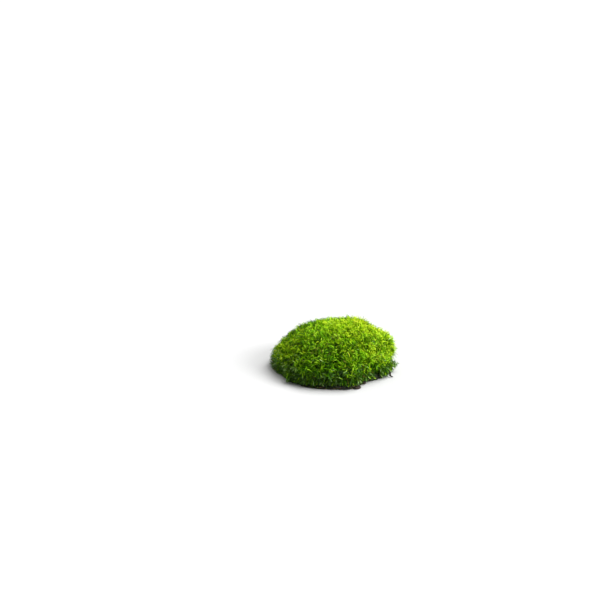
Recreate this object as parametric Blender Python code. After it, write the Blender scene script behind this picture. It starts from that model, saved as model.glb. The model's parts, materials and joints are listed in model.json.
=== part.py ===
"""A clump of cushion moss on the brown mat that it grew from, cut off flat at the ground.

Metres. X runs left to right, Y away from the viewer and Z up. The origin is on the ground, under
the middle of the clump.

The green cushion is a colony of upright shoots grown together into a dome. Each shoot ends in a
pointed tuft, and the tufts are raised out of the dome's own surface. Under the dome lies the root
mat of dead stems, rhizoids and humus, whose ledge carries the cushion's rim. Two crumbs of bark
lie against the mat's foot, and a dead twig hooks down to the ground from under the rim.
"""

import math

import bmesh
import bpy
import numpy as np
from mathutils import Vector, noise

# Driving dimensions of the cushion, over the tips of its tufts
CUSHION_WIDTH = 0.1170
CUSHION_DEPTH = 0.1155
CUSHION_HEIGHT = 0.0428
WIDEST_HEIGHT = 0.0113
RIM_HEIGHT = 0.0009

# The outline seen from above is an ellipse with waves: (waves round it, share of radius, phase)
OUTLINE_WAVES = ((2, 0.008, 0.9), (3, 0.010, 2.2), (5, 0.008, 0.4), (8, 0.005, 1.3))
# It steps in at the front right, past a blunt corner: (azimuth, half width, share of radius),
# with angles in degrees. Every such bump below has this form.
OUTLINE_BUMPS = (
    (-52.0, 12.0, -0.125),
    (-70.0, 8.0, 0.055),
    (-122.0, 14.0, 0.045),
    (-156.0, 16.0, -0.020),
)

# The dome's section is a superellipse above its widest part and another below it. Each power is
# the one at the front and back, and swings by the second number from there to the right.
CROWN_POWERS = (1.94, 0.09)
UNDERSIDE_POWERS = (6.5, -2.5)
# The dome leans to the right, by a share of the height above its widest part, and its widest part
# rises to the right, by a share of the distance from the middle
LEAN = 0.107
TILT = 0.073

# Where the rim lifts clear of the ground
RIM_LIFTS = ((-86.0, 22.0, 0.0022), (-45.0, 12.0, 0.0048), (118.0, 28.0, 0.0016))

# Broad swellings of the dome
SWELL_HEIGHT = 0.0028
SWELLS_PER_UNIT = 2.1
SWELL_START = Vector((1.3, 4.4, 8.7))

# Tufts, and the hollows between them
TUFTS = 1120
TUFT_JITTER = 0.30
TUFT_HEIGHTS = (-0.0008, 0.0005)
HOLLOW_DEPTHS = (0.0023, 0.0037)
LOWEST_TUFT_ANGLE = math.radians(-9.8)
FADE_ANGLE = math.radians(20.0)
GOLDEN_ANGLE = math.pi * (3 - math.sqrt(5))
UNDERSIDE_ANGLE = math.radians(-14.0)
UNDERSIDE_POINTS = 64

# The root mat, whose rings are shares of the cushion's outline
MAT_SEGMENTS = 112
MAT_FOOT_SHARE = 0.900
MAT_FOOT_SPREADS = ((-96.0, 34.0, 0.080), (-44.0, 14.0, 0.045), (100.0, 40.0, 0.030))
MAT_BELLY_SHARE = 0.018
MAT_SHOULDER_SHARE = 0.80
MAT_TOP_SHARE = 0.70
MAT_LEDGE_RISE = 0.0014
MAT_HEIGHT = 0.0092
MAT_RAGGEDNESS = 0.0026
MAT_LUMPS_PER_METRE = 240.0

# Crumbs of bark: (azimuth, distance from the middle, length, width, height, turn in degrees)
BARK_CHIP = (-67.5, 0.0584, 0.0062, 0.0034, 0.0028, 24.0)
BARK_CRUMB = (-56.5, 0.0515, 0.0036, 0.0026, 0.0022, 20.0)
CRUMB_SECTIONS = ((-1.0, 0.55), (-0.35, 1.0), (0.45, 0.9), (1.0, 0.5))
CRUMB_SIDES = 6
CRUMB_WEAR = 0.16

# Stalks run out from the middle along one azimuth: (distance out, height, radius) at each point
STALK_SIDES = 8
TWIG_AZIMUTH = -25.0
TWIG_PATH = (
    (0.0535, 0.0084, 0.0007),
    (0.0570, 0.0082, 0.0010),
    (0.0592, 0.0066, 0.0011),
    (0.0602, 0.0038, 0.0010),
    (0.0606, 0.0014, 0.0010),
    (0.0632, 0.0008, 0.0004),
)
# The stray shoot is part of the cushion, and droops out of its right flank
STRAY_AZIMUTH = -11.0
STRAY_PATH = (
    (0.0500, 0.0088, 0.0010),
    (0.0556, 0.0088, 0.0014),
    (0.0588, 0.0076, 0.0021),
    (0.0602, 0.0054, 0.0021),
    (0.0606, 0.0032, 0.0014),
    (0.0604, 0.0022, 0.0004),
)

# Space kept between pieces that touch, and how far cutters run on below the ground
GAP = 0.0004
CUTTER_DEPTH = 0.005

SEED = 20

MOSS_GREEN = (0.133, 0.275, 0.008)
HUMUS_BROWN = (0.030, 0.020, 0.012)
BARK_BROWN = (0.026, 0.018, 0.014)
TWIG_BROWN = (0.020, 0.012, 0.008)


def bump(azimuth, centre, half_width):
    """A bump that is 1 at the centre and 0.5 at the half width, both in degrees."""
    away = (np.degrees(azimuth) - centre + 180.0) % 360.0 - 180.0
    return 0.5 ** ((away / half_width) ** 2)


def bumps(azimuth, table):
    return sum(size * bump(azimuth, centre, half_width) for centre, half_width, size in table)


def outline(azimuth):
    """The cushion's radius seen from above: an ellipse with waves, a step and a corner."""
    across = np.cos(azimuth) / (CUSHION_WIDTH / 2)
    along = np.sin(azimuth) / (CUSHION_DEPTH / 2)
    waves = sum(share * np.cos(count * azimuth + phase) for count, share, phase in OUTLINE_WAVES)
    return (1 + waves + bumps(azimuth, OUTLINE_BUMPS)) / np.hypot(across, along)


def rim_height(azimuth):
    """The height above the ground of the cushion's lower edge."""
    return RIM_HEIGHT + bumps(azimuth, RIM_LIFTS)


def superellipse(reach, rise, angle, power):
    """The distance to a superellipse with these half axes, at an angle above the horizontal."""
    level = abs(math.cos(angle)) / reach
    upright = abs(math.sin(angle)) / rise
    return (level**power + upright**power) ** (-1 / power)


def cushion_distance(azimuth, angle):
    """How far the smooth dome reaches from its heart, which is at its widest height."""
    rise = CUSHION_HEIGHT - WIDEST_HEIGHT if angle > 0 else WIDEST_HEIGHT - rim_height(azimuth)
    power, swing = CROWN_POWERS if angle > 0 else UNDERSIDE_POWERS
    return superellipse(outline(azimuth), rise, angle, power + swing * math.cos(azimuth))


def skewed(place):
    """The dome's lean and tilt, which leave its rim where it is."""
    above_rim = (place.z - RIM_HEIGHT) / (WIDEST_HEIGHT - RIM_HEIGHT)
    lean = LEAN * max(0.0, place.z - WIDEST_HEIGHT)
    tilt = TILT * place.x * max(0.0, min(1.0, above_rim))
    return place + Vector((lean, 0, tilt))


def direction(azimuth, angle):
    level = math.cos(angle)
    return Vector((math.cos(azimuth) * level, math.sin(azimuth) * level, math.sin(angle)))


def azimuth_and_angle(way):
    return math.atan2(way.y, way.x), math.asin(max(-1.0, min(1.0, way.z)))


def tuft_angles():
    """Each tuft's angle above the horizontal, and the tufts' spacing.

    The tufts go down from the crown in equal steps of the dome's area, which is summed along the
    section at the front.
    """
    angles = np.linspace(math.pi / 2, LOWEST_TUFT_ANGLE, 600)
    distance = np.array([cushion_distance(-math.pi / 2, angle) for angle in angles])
    radius = distance * np.cos(angles)
    height = distance * np.sin(angles)
    strips = np.hypot(np.diff(radius), np.diff(height)) * (radius[1:] + radius[:-1]) / 2
    area = np.concatenate([[0.0], np.cumsum(strips)])
    wanted = (np.arange(TUFTS) + 0.5) / TUFTS * area[-1]
    return np.interp(wanted, area, angles), math.sqrt(2 * math.pi * area[-1] / TUFTS)


def tuft_directions(rng):
    """A direction from the heart for each tuft: a golden-angle spiral, shaken out of its rows."""
    angles, spacing = tuft_angles()
    shakes = rng.uniform(-1, 1, (TUFTS, 2)) * TUFT_JITTER * spacing
    found = []
    for index, (angle, (round_it, down_it)) in enumerate(zip(angles, shakes)):
        azimuth = index * GOLDEN_ANGLE
        distance = cushion_distance(azimuth, angle)
        azimuth += round_it / max(distance * math.cos(angle), spacing)
        angle = max(angle + down_it / distance, LOWEST_TUFT_ANGLE)
        found.append(direction(azimuth, angle))
    return found


def tufted_sphere(rng):
    """A unit sphere with a vertex for each tuft and one for each hollow between three tufts.

    The convex hull of the tufts' directions joins each tuft to its neighbours. Poking the faces
    between tufts adds the hollows, and turning each edge between two tufts makes it run from
    hollow to hollow, so that every tuft is the tip of a small pyramid.
    """
    bm = bmesh.new()
    tufts = {bm.verts.new(way) for way in tuft_directions(rng)}
    for index in range(UNDERSIDE_POINTS):
        bm.verts.new(direction(2 * math.pi * index / UNDERSIDE_POINTS, UNDERSIDE_ANGLE))
    bm.verts.new((0, 0, -1))
    bmesh.ops.convex_hull(bm, input=bm.verts[:])
    raised = [face for face in bm.faces if tufts.issuperset(face.verts)]
    ridges = [edge for edge in bm.edges if all(face in raised for face in edge.link_faces)]
    hollows = set(bmesh.ops.poke(bm, faces=raised)["verts"])
    bmesh.ops.rotate_edges(bm, edges=ridges, use_ccw=False)
    return bm, tufts, hollows


def cushion_mesh(rng):
    """The tufted dome as a closed body, whose underside is cut to fit the mat afterwards."""
    bm, tufts, hollows = tufted_sphere(rng)
    heart = Vector((0, 0, WIDEST_HEIGHT))
    for vert in bm.verts:
        way = vert.co.normalized()
        azimuth, angle = azimuth_and_angle(way)
        distance = cushion_distance(azimuth, angle)
        fade = max(0.0, min(1.0, (angle - LOWEST_TUFT_ANGLE) / FADE_ANGLE))
        distance += SWELL_HEIGHT * fade * noise.noise(way * SWELLS_PER_UNIT + SWELL_START)
        if vert in tufts:
            distance += rng.uniform(*TUFT_HEIGHTS)
        elif vert in hollows:
            distance -= rng.uniform(*HOLLOW_DEPTHS)
        vert.co = skewed(heart + way * distance)
    bmesh.ops.recalc_face_normals(bm, faces=bm.faces)
    return mesh_from(bm, "moss_cushion")


def mesh_from(bm, name):
    mesh = bpy.data.meshes.new(name)
    bm.to_mesh(mesh)
    bm.free()
    return mesh


def mat_section(azimuth):
    """The mat's side from its foot up, as (share of the outline, height, raggedness)."""
    foot = MAT_FOOT_SHARE + bumps(azimuth, MAT_FOOT_SPREADS)
    ledge = rim_height(azimuth) - GAP
    return (
        (foot - MAT_BELLY_SHARE, 0.0, 0.6),
        (foot, ledge * 0.5, 1.0),
        (foot - MAT_BELLY_SHARE, ledge, 1.0),
        (MAT_SHOULDER_SHARE, ledge + MAT_LEDGE_RISE, 0.5),
        (MAT_TOP_SHARE, MAT_HEIGHT, 0.5),
    )


def tube(bm, rings):
    """Join closed rings of vertices, each with the next, and cap both ends."""
    for lower, upper in zip(rings, rings[1:]):
        for index, vert in enumerate(lower):
            after = (index + 1) % len(lower)
            bm.faces.new((vert, lower[after], upper[after], upper[index]))
    bm.faces.new(rings[0])
    bm.faces.new(rings[-1])
    bmesh.ops.recalc_face_normals(bm, faces=bm.faces)


def mat_mesh(name, grow=0.0, depth=0.0):
    """The mat as a stack of ragged rings. A cutter of its form is grown, and runs on below."""
    bm = bmesh.new()
    columns = []
    for index in range(MAT_SEGMENTS):
        azimuth = 2 * math.pi * index / MAT_SEGMENTS
        way = direction(azimuth, 0.0)
        column = []
        for share, height, raggedness in mat_section(azimuth):
            radius = share * outline(azimuth)
            lump = noise.noise((way * radius + Vector((0, 0, height))) * MAT_LUMPS_PER_METRE)
            place = way * (radius + lump * MAT_RAGGEDNESS * raggedness + grow)
            place.z = height + grow if height > 0 else -depth
            column.append(bm.verts.new(place))
        columns.append(column)
    tube(bm, list(zip(*columns)))
    return mesh_from(bm, name)


def crumb_mesh(name, crumb, rng):
    """A worn crumb of bark lying on the ground: the hull of a few sections knocked about."""
    azimuth, distance, length, width, height, turn = crumb
    centre = direction(math.radians(azimuth), 0.0) * distance
    along = direction(math.radians(turn), 0.0)
    across = Vector((-along.y, along.x, 0.0))
    points = []
    for place, size in CRUMB_SECTIONS:
        for index in range(CRUMB_SIDES):
            corner = 2 * math.pi * index / CRUMB_SIDES
            worn = size * (1 - rng.uniform(0, CRUMB_WEAR))
            level = math.cos(corner) * worn * width / 2
            up = (1 + math.sin(corner) * worn) * height / 2
            points.append(centre + along * place * length / 2 + across * level + Vector((0, 0, up)))
    lowest = min(point.z for point in points)
    bm = bmesh.new()
    for point in points:
        bm.verts.new((point.x, point.y, point.z - lowest))
    hull = bmesh.ops.convex_hull(bm, input=bm.verts[:])
    spare = set(hull["geom_interior"] + hull["geom_unused"])
    bmesh.ops.delete(bm, geom=list(spare), context="VERTS")
    bmesh.ops.recalc_face_normals(bm, faces=bm.faces)
    return mesh_from(bm, name)


def stalk_mesh(name, azimuth, path, grow=0.0):
    """A round stalk that tapers along its path, which stays in one upright plane."""
    out = direction(math.radians(azimuth), 0.0)
    across = Vector((-out.y, out.x, 0.0))
    points = [out * distance + Vector((0, 0, height)) for distance, height, radius in path]
    turns = [2 * math.pi * side / STALK_SIDES for side in range(STALK_SIDES)]
    bm = bmesh.new()
    rings = []
    for index, centre in enumerate(points):
        before = points[max(index - 1, 0)]
        after = points[min(index + 1, len(points) - 1)]
        upright = across.cross(after - before).normalized()
        radius = path[index][2] + grow
        spokes = [(across * math.cos(turn) + upright * math.sin(turn)) * radius for turn in turns]
        rings.append([bm.verts.new(centre + spoke) for spoke in spokes])
    tube(bm, rings)
    mesh = mesh_from(bm, name)
    mesh.shade_smooth()
    return mesh


def finish(name, colour, roughness):
    """A plain matt material."""
    material = bpy.data.materials.new(name)
    material.use_nodes = True
    shader = material.node_tree.nodes["Principled BSDF"]
    shader.inputs["Base Color"].default_value = (*colour, 1.0)
    shader.inputs["Roughness"].default_value = roughness
    shader.inputs["Metallic"].default_value = 0.0
    return material


def swollen(mesh, name):
    """The space that a crumb takes up, with the gap that is kept round it."""
    bm = bmesh.new()
    bm.from_mesh(mesh)
    bm.normal_update()
    for vert in bm.verts:
        vert.co += vert.normal * GAP
    return mesh_from(bm, name)


def add_piece(mesh, material, clump):
    piece = bpy.data.objects.new(mesh.name, mesh)
    piece.data.materials.append(material)
    piece.parent = clump
    bpy.context.scene.collection.objects.link(piece)
    return piece


def combine(piece, mesh, operation):
    """Join a tool's shape to a piece, or cut it out of the piece."""
    tool = bpy.data.objects.new(mesh.name, mesh)
    tool.parent = piece.parent
    tool.hide_render = True
    tool.display_type = "WIRE"
    bpy.context.scene.collection.objects.link(tool)
    modifier = piece.modifiers.new(mesh.name, "BOOLEAN")
    modifier.operation = operation
    modifier.solver = "EXACT"
    modifier.object = tool


def set_down(clump, pieces):
    """Move the clump so that the origin is on the ground under the middle of its pieces."""
    depsgraph = bpy.context.evaluated_depsgraph_get()
    corners = []
    for piece in pieces:
        corners.extend(piece.evaluated_get(depsgraph).bound_box)
    lows = np.min(corners, axis=0)
    highs = np.max(corners, axis=0)
    clump.location = (-(lows[0] + highs[0]) / 2, -(lows[1] + highs[1]) / 2, -lows[2])


def main():
    for thing in list(bpy.data.objects):
        bpy.data.objects.remove(thing, do_unlink=True)
    rng = np.random.default_rng(SEED)
    clump = bpy.data.objects.new("clump", None)
    bpy.context.scene.collection.objects.link(clump)

    cushion = add_piece(cushion_mesh(rng), finish("moss", MOSS_GREEN, 0.60), clump)
    mat = add_piece(mat_mesh("root_mat"), finish("humus", HUMUS_BROWN, 0.95), clump)
    bark = finish("bark", BARK_BROWN, 0.90)
    chip = add_piece(crumb_mesh("bark_chip", BARK_CHIP, rng), bark, clump)
    crumb = add_piece(crumb_mesh("bark_crumb", BARK_CRUMB, rng), bark, clump)
    wood = finish("dead wood", TWIG_BROWN, 0.85)
    twig = add_piece(stalk_mesh("hooked_twig", TWIG_AZIMUTH, TWIG_PATH), wood, clump)

    combine(cushion, stalk_mesh("stray shoot", STRAY_AZIMUTH, STRAY_PATH), "UNION")
    combine(cushion, mat_mesh("space for the mat", GAP, CUTTER_DEPTH), "DIFFERENCE")
    combine(cushion, stalk_mesh("space for the twig", TWIG_AZIMUTH, TWIG_PATH, GAP), "DIFFERENCE")
    combine(mat, swollen(chip.data, "space for the chip"), "DIFFERENCE")
    combine(mat, swollen(crumb.data, "space for the crumb"), "DIFFERENCE")
    set_down(clump, (cushion, mat, chip, crumb, twig))


main()
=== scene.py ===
"""A clump of cushion moss: leafy shoots over a brown mat of dead stems, on a pale floor.

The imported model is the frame, and everything here is worked out from it in metres. The cushion's
shoots grow out of its surface, and each leaf is a ribbon of three quads and a pointed tip. Every
leaf lies on a narrow column of one palette, the map OFBake. Across the palette are the tints, from
dead brown through deep green to yellow-green. Up it are four kinds of leaf, one above the other,
and within its kind a leaf runs from its base to its tip.
"""

import json
import math

import bpy
import numpy as np
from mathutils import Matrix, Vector

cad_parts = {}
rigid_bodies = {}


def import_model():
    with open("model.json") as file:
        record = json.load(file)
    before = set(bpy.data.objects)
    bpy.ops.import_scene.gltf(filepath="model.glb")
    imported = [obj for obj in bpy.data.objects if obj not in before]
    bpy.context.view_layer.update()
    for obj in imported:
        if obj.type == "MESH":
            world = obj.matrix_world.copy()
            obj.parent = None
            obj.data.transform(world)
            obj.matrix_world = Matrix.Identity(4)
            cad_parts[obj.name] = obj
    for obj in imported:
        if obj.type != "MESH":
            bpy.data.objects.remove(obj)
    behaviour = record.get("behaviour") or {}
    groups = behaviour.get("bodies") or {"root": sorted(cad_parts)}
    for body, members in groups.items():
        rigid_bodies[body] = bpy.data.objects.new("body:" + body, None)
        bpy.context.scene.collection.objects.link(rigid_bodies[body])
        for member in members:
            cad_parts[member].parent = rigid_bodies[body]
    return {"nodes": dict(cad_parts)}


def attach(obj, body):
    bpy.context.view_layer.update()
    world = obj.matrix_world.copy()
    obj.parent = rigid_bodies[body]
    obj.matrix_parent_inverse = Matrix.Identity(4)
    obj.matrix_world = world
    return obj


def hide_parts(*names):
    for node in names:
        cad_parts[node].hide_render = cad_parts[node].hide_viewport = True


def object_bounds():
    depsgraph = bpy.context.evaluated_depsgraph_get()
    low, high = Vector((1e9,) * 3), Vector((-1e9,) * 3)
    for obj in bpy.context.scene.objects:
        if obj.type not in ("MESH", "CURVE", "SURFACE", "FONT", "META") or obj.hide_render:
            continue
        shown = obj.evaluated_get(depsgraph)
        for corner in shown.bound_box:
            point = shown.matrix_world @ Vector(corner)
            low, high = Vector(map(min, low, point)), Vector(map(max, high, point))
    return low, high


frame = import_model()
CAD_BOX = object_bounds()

MM = 0.001
TURN = 2 * math.pi
GOLDEN_ANGLE = math.pi * (3 - math.sqrt(5))
UP = np.array([0.0, 0.0, 1.0])
SEED = 4

# The photograph's frame, and how the clump stands in it
PHOTO_SIZE = 600
LENS = 100.0
SENSOR = 36.0
CAMERA_DISTANCE = 1.575
CAMERA_DROP = math.radians(20.65)
BASE_PIXEL = (332.5, 366.0)
BASE_MIDDLE = Vector((-1.1, -0.3, 0.0)) * MM

# The studio, with each lamp's name, the way to it, its width in degrees and its strength
WORLD_LIGHT = 0.44
LAMPS = (
    ("key", (0.50, 0.40, 1.0), 40, 3.8),
    ("side", (1.0, -0.25, 0.60), 30, 4.0),
    ("rim", (-0.75, 1.0, 1.0), 60, 0.8),
)
LAMP_TARGET = Vector((0.0, 0.0, 0.02))
FLOOR_SIZE = 12.0
FLOOR_SHADE = 0.48

# The cushion: the middle that its surface is seen from, its usual distance from there, its height
# and its half width
HEART = np.array([0.0, 0.0, 11.5]) * MM
USUAL_RADIUS = 0.05
CUSHION_HEIGHT = 44 * MM
HALF_WIDTH = 58 * MM

# How far a leaf may go past the CAD box, as a share of it, and past its shoot's tip. One that goes
# farther is shortened, a few times over. All of its points keep the clearance from the ground
BOX_MARGIN = 0.014
MOST_PROUD = 3.6 * MM
SHORTENING = 0.8
SHORTENING_ROUNDS = 3
GROUND_CLEARANCE = 0.25 * MM

# The cushion's shoots: how many, how far off even places they stand as a share of their spacing,
# the angle of the lowest from the heart, and the steps and the sections that their even places are
# worked out from. Then those that hang round the rim as a skirt: how many, how far off even places
# in radians, and their angles from the heart in degrees
SHOOTS = 3200
SHOOT_SHAKE = 0.25
LOWEST_SHOOT = math.radians(-9.5)
SECTION_STEPS = 240
SECTIONS = 36
SKIRT_SHOOTS = 330
SKIRT_SHAKE = 0.01
SKIRT_ANGLES = (-14, -9)

# The crown begins above this share of all shoots, and the first side at this azimuth
CROWN_BEGINS = 0.80
FRONT_LEFT = -0.75 * math.pi

# Near the ground the shoots droop more, and their leaves are duller and more alike, which is
# painted shade. These are the heights over which the two changes take place
LOW_HEIGHT = 12 * MM
FOOT_HEIGHT = 16 * MM

# How much the shoots differ: in the way they point, the way they lean and how many millimetres
# they stand out, their size and its spread, and the least and the most that their leaves sweep
# over. Waves have a wavelength and a height. Last, the scale of all shares of bright leaves,
# which are partly fresh growth and partly painted light
AXIS_SCATTER = 0.34
HANG_SCATTER = 0.12
LEAN_SCATTER = 0.7
LEAN_WAVES = (22 * MM, 0.3)
OUTWARD_SCATTER = 0.7
OUTWARD_WAVES = (8 * MM, 0.15)
SHOOT_SIZE = (1.04, 0.08)
SWEEP = (1.5, 3.2)
FRESH_SHARE = 0.24

# A leaf's stations along its middle line, its width at each as a share of its greatest, and the
# sharpest and the slightest that it bends, in radians
LEAF_STATIONS = np.array([0.0, 0.32, 0.58, 0.80, 1.0])
LEAF_WIDTHS = np.array([0.95, 1.0, 0.74, 0.42, 0.0])
MOST_TURN = 2.9
LEAST_TURN = 0.05

# How a shoot's leaves change from its youngest to its oldest: at first, and how much by the end
LEAVES_PER_SHOOT = 16
SPREAD = (10, 34)
RECURVE = (0.05, 0.55)
DROOP = (0.10, 0.35)
LENGTH = (6.6 * MM, 2.8 * MM)
FRESH_CHANCE = (1.3, -0.6)
FRESH_TINT = (0.80, -0.14)
OLD_TINT = (0.42, -0.30)
DEAD_CHANCE = (0.35, 1.0)

# The tip of a shoot is this share of a leaf's length above its youngest leaf's root, and its
# oldest leaf's root is the stem's length below that
RISE = 0.55
STEM = 6.5 * MM

# How much the leaves of one shoot differ
PLACE_SCATTER = 0.25
SPREAD_SCATTER = 0.14
RECURVE_SCATTER = 0.25
SWEEP_SCATTER = 0.3
LENGTH_SCATTER = 0.13
TINT_SCATTER = 0.12
TWIST_SCATTER = 0.7
LEAF_WIDTH = (0.42 * MM, 0.72 * MM)
FRESH_WIDTH = 0.22 * MM
SHARED_DRAW = 0.7
SINGLE_DRAW = 0.3

# The palette: a leaf's column is 4 pixels wide on a map of 1024, and it keeps clear of its kind's
# lower and upper edge. The tints of dead leaves come first, and then those of living ones
LEAF_COLUMN = 4 / 1024
LEAF_EDGE = 0.02
LEAF_KINDS = 4
# Kinds of leaf: sunny, green, greyer and bluer as painted shade, and pale as painted rim light
SUNNY, GREEN, PAINTED_SHADE, PALE = range(LEAF_KINDS)
DEAD_TINTS = (0.0, 0.12)
LIVING_TINT = 0.16

# The palette's colours from 0 to 255: at a leaf's base, at a dead leaf's tip, and at the tips of
# sunny, green, greyer and bluer, and pale living leaves. The greyer, bluer kind is painted shade,
# and the pale kind is painted rim light
BASE_STOPS = (
    (0.00, (46, 28, 14)), (0.10, (92, 62, 26)), (0.16, (9, 16, 1)),
    (0.50, (15, 36, 1)), (0.80, (74, 122, 3)), (1.00, (120, 150, 8)),
)
DEAD_TIP_STOPS = ((0.00, (76, 52, 28)), (0.10, (166, 136, 76)))
LIVING_TIP_PLACES = (0.16, 0.40, 0.60, 0.80, 1.00)
LIVING_TIP_COLOURS = (
    ((14, 34, 1), (36, 73, 2), (92, 142, 5), (168, 212, 5), (204, 230, 44)),
    ((10, 35, 1), (29, 76, 2), (78, 146, 8), (150, 216, 12), (196, 236, 60)),
    ((22, 38, 14), (54, 82, 42), (106, 142, 82), (154, 190, 112), (200, 222, 146)),
    ((18, 34, 1), (48, 76, 4), (122, 143, 6), (194, 208, 18), (220, 230, 62)),
)

# How far up a leaf its base's colour begins to change, and where it has become the tip's. The
# dark base is partly the leaf's own colour and partly painted shade of the depth among the shoots
TIP_COLOUR_BEGINS = 0.2
TIP_COLOUR_REACHED = 0.7

# The colour of the light that comes through a leaf, and its share: the last tint of dead leaves
# and the first of living ones, each with the share that comes through
GLOW = (144, 202, 4)
DEAD_GLOW = (0.11, 0.04)
LIVING_GLOW = (0.17, 0.18)

# Shoots that hang lowest: how many, their first and last azimuth in degrees, the nearest and the
# farthest from the middle of the base and the lowest and the highest, in millimetres, and the
# share of bright leaves, partly fresh growth and partly painted light
CURTAINS = (
    (18, -36, -19, 54.0, 56.5, 5.0, 8.0, 0.30),
    (26, -34, -15, 53.0, 56.0, 1.4, 5.0, 0.24),
    (18, -30, -23, 55.5, 58.0, 1.6, 5.6, 0.30),
    (34, -68, -43, 49.5, 52.5, 2.5, 6.5, 0.22),
    (60, -146, -110, 53.0, 56.0, 2.0, 5.0, 0.16),
    (45, -110, -76, 52.5, 55.5, 3.4, 6.5, 0.16),
    (6, -139, -133, 57.0, 59.5, 0.8, 2.6, 0.08),
    (26, -174, -150, 51.0, 54.0, 1.0, 4.0, 0.08),
    (12, -80, -67, 55.0, 58.0, 2.2, 5.0, 0.16),
    (4, -141, -137, 55.0, 57.0, 0.6, 1.6, 0.08),
)

# Where the shoots stand higher or lower than the CAD cushion: place, spread and rise in millimetres
SWELLS = (
    ((56, 5, 26), 10, 2.8), ((37, 24, 32), 9, -3.4), ((-57, -6, 12), 12, 1.2),
    ((-20, 30, 36), 10, 1.2), ((-48, -34, 3), 11, -4.4), ((60, -2, 9), 7, -4.4),
    ((57, -15, 7), 7, -2.6),
)

# Where the moss is paler or darker: place and spread in millimetres, and the change of tint. The
# patches are partly the moss's own tone and partly painted light and shade, such as the paler
# left rim and right flank where the light falls
TONE_AND_LIGHT_PATCHES = (
    ((-50, -6, 18), 10, 0.22), ((43, -8, 25), 12, 0.10), ((-10, -30, 29), 10, 0.05),
    ((-28, -2, 33), 11, 0.08), ((-39, -33, 7), 8, 0.32), ((-54, -14, 10), 9, 0.16),
    ((-9, -16, 36), 9, -0.12), ((46, 14, 31), 12, 0.14), ((42, -4, 28), 9, 0.12),
    ((-2, 20, 44), 12, 0.08), ((-33, -38, 17), 6, 0.12), ((34, -24, 29), 9, 0.16),
    ((1, -38, 30), 9, -0.05), ((41, -30, 15), 7, -0.06),
)

# Where more of the leaves are emerald: place and spread in millimetres, and the added share
EMERALDS = (((-29, -42, 15), 7, 0.7), ((42, -28, 9), 6, 0.6))

# Where more of the leaves are pale yellow, along the rim that the light comes over: painted rim
# light
PAINTED_RIM_LIGHT = (
    ((38, 12, 36), 13, 0.45), ((53, 4, 24), 13, 0.45), ((18, 22, 43), 13, 0.40),
    ((-50, 2, 24), 8, 0.35), ((-8, 16, 44), 10, 0.35),
)

# Where dead leaves gather: places and their spread in millimetres
BROWN_SPOTS = ((-21.0, -37.5, 32.0), (4.0, -24.5, 39.0))
BROWN_SPREAD = 2.6

# The hooked twig and the stray shoot, each in an upright plane at its azimuth in degrees from +X:
# distance from the middle of the base, height and radius, in millimetres
TWIG_AZIMUTH = -26.5
TWIG_PATH = (
    (50.0, 7.2, 0.6), (55.6, 7.2, 0.8), (58.4, 6.2, 0.8),
    (59.2, 3.8, 0.8), (59.3, 1.3, 0.8), (62.4, 0.7, 0.3),
)
STRAY_AZIMUTH = -11
STRAY_PATH = (
    (53.0, 6.4, 0.9), (56.0, 6.2, 1.2), (57.8, 5.8, 1.7),
    (58.7, 5.0, 2.0), (59.1, 4.1, 1.8), (59.1, 3.6, 0.8),
)
STRAY_SHOOTS = 26

# The twig's rings and the points of each, and its core as a share of the path's radius. On the core
# are ridges, with their depth, how many stand round it and how far they wind in radians, and
# knots, with their height, place along it and width
TWIG_RINGS = 60
TWIG_POINTS = 28
TWIG_CORE = 0.96
TWIG_RIDGES = ((0.10, 6, 9), (0.06, 13, -21))
TWIG_KNOTS = ((0.16, 0.46, 0.03), (0.14, 0.72, 0.025))

# The stems: how far below the cushion's surface they lie, their rings' angles from the heart
# in degrees and the points of each, and their lumps. Their floor has a ring at a share of their
# lowest ring, and another at a share of that. Lumps, here and below, have a wavelength and a height
# in millimetres, and a number of plane waves
STEM_DEPTH = 5.2 * MM
STEM_ANGLES = np.linspace(-8, 88, 60)
STEM_AROUND = 180
STEM_LUMPS = ((3.2, 0.35, 16),)
STEM_FLOOR = 0.86
STEM_MIDDLE = 0.1

# The mat: its points around, the heights of its rings in millimetres, which are closest near the
# ground, the share of a ring at which the fans begin that close it, and the lumps that move its
# side in and out, and up and down
MAT_AROUND = 720
MAT_HEIGHTS = (np.linspace(0, 4.0, 13), np.linspace(4.6, 9.0, 8))
MAT_MIDDLE = 0.06
MAT_LUMPS = ((4.0, 0.30, 16), (1.6, 0.26, 24), (0.8, 0.18, 24))
MAT_RISE = ((1.3, 0.25, 24),)

# The fibres in the mat's side: how many, their heights in millimetres, how deep in the side their
# roots are, their lengths and widths in millimetres, and how many are living, with both tints
FIBRES = 2200
FIBRE_HEIGHTS = (0.2, 6.0)
FIBRE_ROOT = 0.8 * MM
FIBRE_LENGTHS = (1.8, 4.8)
FIBRE_WIDTHS = (0.16, 0.5)
FIBRE_LIVING_SHARE = 0.5
FIBRE_LIVING_TINTS = (0.17, 0.36)
FIBRE_DEAD_TINTS = (0.0, 0.05)

# The bark crumbs: their rings' angles in degrees and the points of each, how sharp their edges
# are, the thickness and the depth of their layers, the wavelength and the height in layers of the
# layers' wavering, and the size, depth and number of plane waves of their grain
CRUMB_ANGLES = np.linspace(-86, 86, 40)
CRUMB_AROUND = 72
EDGE_POWER = 14
LAYER_THICKNESS = 0.55 * MM
LAYER_DEPTH = 0.16 * MM
LAYER_WAVES = (2.5 * MM, 0.35)
GRAIN_SIZE = 0.5 * MM
GRAIN_DEPTH = 0.05 * MM
GRAIN_WAVES = 24

rng = np.random.default_rng(SEED)


def unit(vectors):
    """The same directions with a length of 1."""
    return vectors / np.maximum(np.linalg.norm(vectors, axis=-1, keepdims=True), 1e-12)


def along(first, second):
    """The dot product of rows, kept as a column."""
    return (first * second).sum(-1, keepdims=True)


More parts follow.
